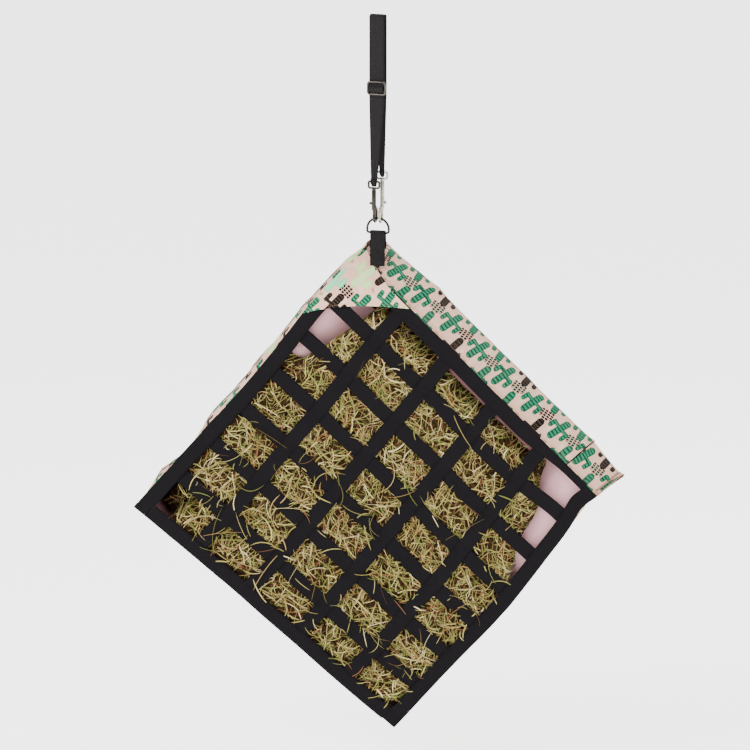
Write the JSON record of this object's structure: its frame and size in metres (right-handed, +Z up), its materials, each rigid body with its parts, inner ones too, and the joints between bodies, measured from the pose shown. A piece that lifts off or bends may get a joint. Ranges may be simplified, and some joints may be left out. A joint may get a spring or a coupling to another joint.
{
  "type": "hay net",
  "caption": "Square slow-feed hay bag hung by one corner: printed fabric pouch with a webbing net front, top D-ring and an adjustable strap with snap hooks",
  "frame": {"origin": "the hanging point: middle of the flat stretch inside the fold at the top of the strap", "axes": "+Z up; the net front faces -Y; +X is to the right as seen from the front; the closing flap is on the upper right side"},
  "size_m": [0.8176, 0.1536, 1.1823],
  "materials": {
    "printed_fabric": "matt printed canvas, sandy pink ground with small green and black cactus motifs",
    "pink_lining": "plain pale pink woven lining",
    "black_webbing": "black ribbed one inch webbing",
    "black_tape": "black hook-and-loop tape",
    "nickel": "nickel-plated zinc casting, bright with slight wear",
    "spring_steel": "drawn spring wire",
    "hay": "loose dry meadow hay, straw yellow to olive green"
  },
  "bodies": {
    "strap": {"hanging_strap": "black_webbing"},
    "hanger": {"front_snap_eye": "nickel", "rear_snap_eye": "nickel"},
    "slider": {"strap_slider": "nickel"},
    "front_snap": {"front_snap_hook": "nickel", "front_snap_spring": "spring_steel"},
    "front_bolt": {"front_snap_bolt": "nickel"},
    "rear_snap": {"rear_snap_hook": "nickel", "rear_snap_spring": "spring_steel"},
    "rear_bolt": {"rear_snap_bolt": "nickel"},
    "ring": {"d_ring": "nickel"},
    "bag": {"ring_tab": "black_webbing", "corner_piece": "printed_fabric", "back_panel": "printed_fabric", "gusset_upper_left": "printed_fabric", "gusset_lower_left": "printed_fabric", "gusset_lower_right": "printed_fabric", "upper_right_top_end": "printed_fabric", "upper_right_end": "printed_fabric", "lining": "pink_lining", "net_border_upper_left": "black_webbing", "net_border_lower_right": "black_webbing", "net_border_lower_left": "black_webbing", "net_border_upper_right": "black_webbing", "net_long_strap_1": "black_webbing", "net_long_strap_2": "black_webbing", "net_long_strap_3": "black_webbing", "net_long_strap_4": "black_webbing", "net_cross_strap_1": "black_webbing", "net_cross_strap_2": "black_webbing", "net_cross_strap_3": "black_webbing", "net_cross_strap_4": "black_webbing", "net_cross_strap_5": "black_webbing", "net_cross_strap_6": "black_webbing", "hay_fill": "hay", "loop_tape": "black_tape"},
    "flap": {"closure_flap": "printed_fabric", "flap_lining": "pink_lining", "flap_hook_tape": "black_tape"}
  },
  "joints": [
    {"name": "strap_length", "type": "slide", "parent": "strap", "child": "hanger", "axis": [0, 0, 1], "range_m": [-0.05, 0.03], "deforming": ["hanging_strap"]},
    {"name": "slider_slide", "type": "slide", "parent": "hanger", "child": "slider", "axis": [0, 0, 1], "range_m": [-0.1, 0.06]},
    {"name": "front_snap_swivel", "type": "hinge", "parent": "hanger", "child": "front_snap", "pos_m": [-0.0048, -0.0072, -0.291], "axis": [0, 0, 1], "range_deg": [-4, 4]},
    {"name": "rear_snap_swivel", "type": "hinge", "parent": "hanger", "child": "rear_snap", "pos_m": [0.0048, 0.0072, -0.277], "axis": [0, 0, 1], "range_deg": [-4, 4]},
    {"name": "front_bolt_slide", "type": "slide", "parent": "front_snap", "child": "front_bolt", "axis": [0, 0, 1], "range_m": [0, 0.0075], "stiffness_N_per_m": 300, "springref_m": -0.005, "deforming": ["front_snap_spring"]},
    {"name": "rear_bolt_slide", "type": "slide", "parent": "rear_snap", "child": "rear_bolt", "axis": [0, 0, 1], "range_m": [0, 0.0075], "stiffness_N_per_m": 300, "springref_m": -0.005, "deforming": ["rear_snap_spring"]},
    {"name": "ring_rock", "type": "hinge", "parent": "front_snap", "child": "ring", "pos_m": [0, 0, -0.357], "axis": [0, 1, 0], "range_deg": [-15, 15]},
    {"name": "bag_swing", "type": "hinge", "parent": "ring", "child": "bag", "pos_m": [0, 0, -0.3625], "axis": [1, 0, 0], "range_deg": [-35, 35]},
    {"name": "flap_open", "type": "hinge", "parent": "bag", "child": "flap", "pos_m": [0.19659, 0.0746, -0.57372], "axis": [-0.7581, 0, 0.6521], "range_deg": [0, 150]}
  ],
  "couplings": [
    {"joint": "slider_slide", "follows": "strap_length", "ratio": 2},
    {"joint": "rear_snap_swivel", "follows": "front_snap_swivel", "ratio": 1}
  ]
}
